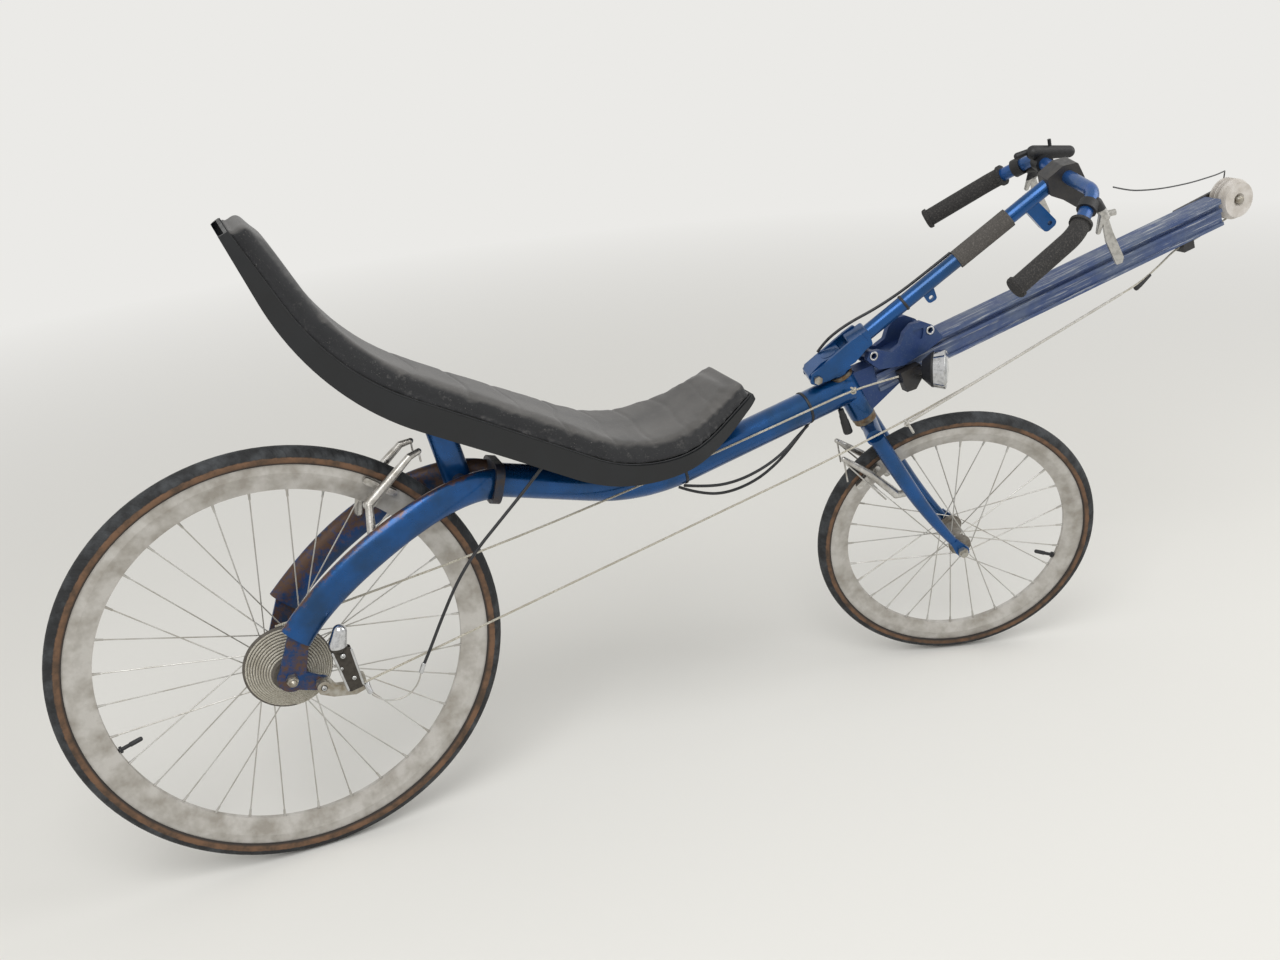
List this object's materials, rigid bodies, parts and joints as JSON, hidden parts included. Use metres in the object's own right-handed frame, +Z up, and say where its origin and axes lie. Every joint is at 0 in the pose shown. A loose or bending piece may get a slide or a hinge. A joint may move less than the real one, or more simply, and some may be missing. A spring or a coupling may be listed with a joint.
{
  "type": "rowing bike",
  "caption": "Recumbent bike rowed with a hinged lever handlebar and a foot carriage sliding on a boom, with a rope drum on the rear hub.",
  "frame": {"origin": "where the rider sits, 13 mm into the pad under the lowest point of its top, on the middle plane of the frame", "axes": "+X forward, +Y to the rider's left, +Z up; the ground lies 0.575 m below the origin"},
  "size_m": [2.1928, 0.4066, 1.015],
  "materials": {
    "blue_paint": "gloss",
    "dark_metal": "satin",
    "bright_steel": "worn",
    "raw_aluminium": "brushed",
    "black_plastic": "matte",
    "clear_glass": "clear",
    "tyre_rubber": "matte",
    "grip_rubber": "matte",
    "seat_foam": "worn",
    "rope_fibre": "woven"
  },
  "bodies": {
    "root": {"main_tube": "blue_paint", "head_tube": "blue_paint", "headset_cups": "dark_metal", "arm_collar": "dark_metal", "left_rear_arm": "blue_paint", "right_rear_arm": "blue_paint", "left_dropout": "blue_paint", "right_dropout": "blue_paint", "rear_axle": "bright_steel", "arm_bridge": "dark_metal", "seat_strut": "blue_paint", "seat_bracket": "dark_metal", "seat_shell": "black_plastic", "seat_pad": "seat_foam", "boom_rail": "blue_paint", "boom_root": "blue_paint", "boom_tip": "dark_metal", "line_guide": "dark_metal", "lamp_bracket": "dark_metal", "lamp_body": "black_plastic", "lamp_glass": "clear_glass", "left_rear_brake": "dark_metal", "right_rear_brake": "dark_metal", "guide_link": "bright_steel", "guide_body": "raw_aluminium", "drive_rope": "rope_fibre", "return_cord": "rope_fibre", "upper_housing": "black_plastic", "lower_housing": "black_plastic", "guide_housing": "black_plastic", "guide_cable": "black_plastic", "top_cable": "black_plastic"},
    "steering": {"fork": "blue_paint", "crown_race": "dark_metal", "front_axle": "bright_steel", "stem_clevis": "blue_paint", "pivot_bolt": "bright_steel", "left_front_brake": "dark_metal", "right_front_brake": "dark_metal"},
    "lever": {"lever_fork": "blue_paint", "lever_tube": "blue_paint", "lever_sleeve": "grip_rubber", "bar_clamp": "dark_metal", "handlebar": "blue_paint", "left_grip": "grip_rubber", "right_grip": "grip_rubber", "right_brake_lever": "raw_aluminium", "left_shifter": "black_plastic", "lever_housing": "black_plastic"},
    "carriage": {"carriage": "blue_paint"},
    "pulley": {"front_pulley": "dark_metal"},
    "front_wheel": {"front_tyre": "tyre_rubber", "front_rim": "raw_aluminium", "front_spokes": "bright_steel", "front_hub": "raw_aluminium"},
    "rear_wheel": {"rear_tyre": "tyre_rubber", "rear_rim": "raw_aluminium", "rear_spokes": "bright_steel", "rear_hub": "raw_aluminium", "rear_drum": "rope_fibre"}
  },
  "joints": [
    {"name": "rear_wheel_spin", "type": "hinge", "parent": "root", "child": "rear_wheel", "pos_m": [-0.59, 0, -0.234], "axis": [0, 1, 0], "continuous": true},
    {"name": "steering", "type": "hinge", "parent": "root", "child": "steering", "pos_m": [0.406, 0, -0.0025], "axis": [-0.4446, 0, 0.8957], "range_deg": [-8, 52]},
    {"name": "front_wheel_spin", "type": "hinge", "parent": "steering", "child": "front_wheel", "pos_m": [0.60718, -0.01513, -0.32353], "axis": [0.3355, 0.9272, 0.1666], "continuous": true},
    {"name": "lever_swing", "type": "hinge", "parent": "steering", "child": "lever", "pos_m": [0.34818, 0.00978, 0.02953], "axis": [-0.2258, -0.9677, -0.1121], "range_deg": [0, 75]},
    {"name": "carriage_slide", "type": "slide", "parent": "root", "child": "carriage", "axis": [0.9744, 0, 0.225], "range_m": [0, 0.5]},
    {"name": "pulley_spin", "type": "hinge", "parent": "root", "child": "pulley", "pos_m": [1.22484, 0, 0.19373], "axis": [0, 1, 0], "continuous": true}
  ]
}
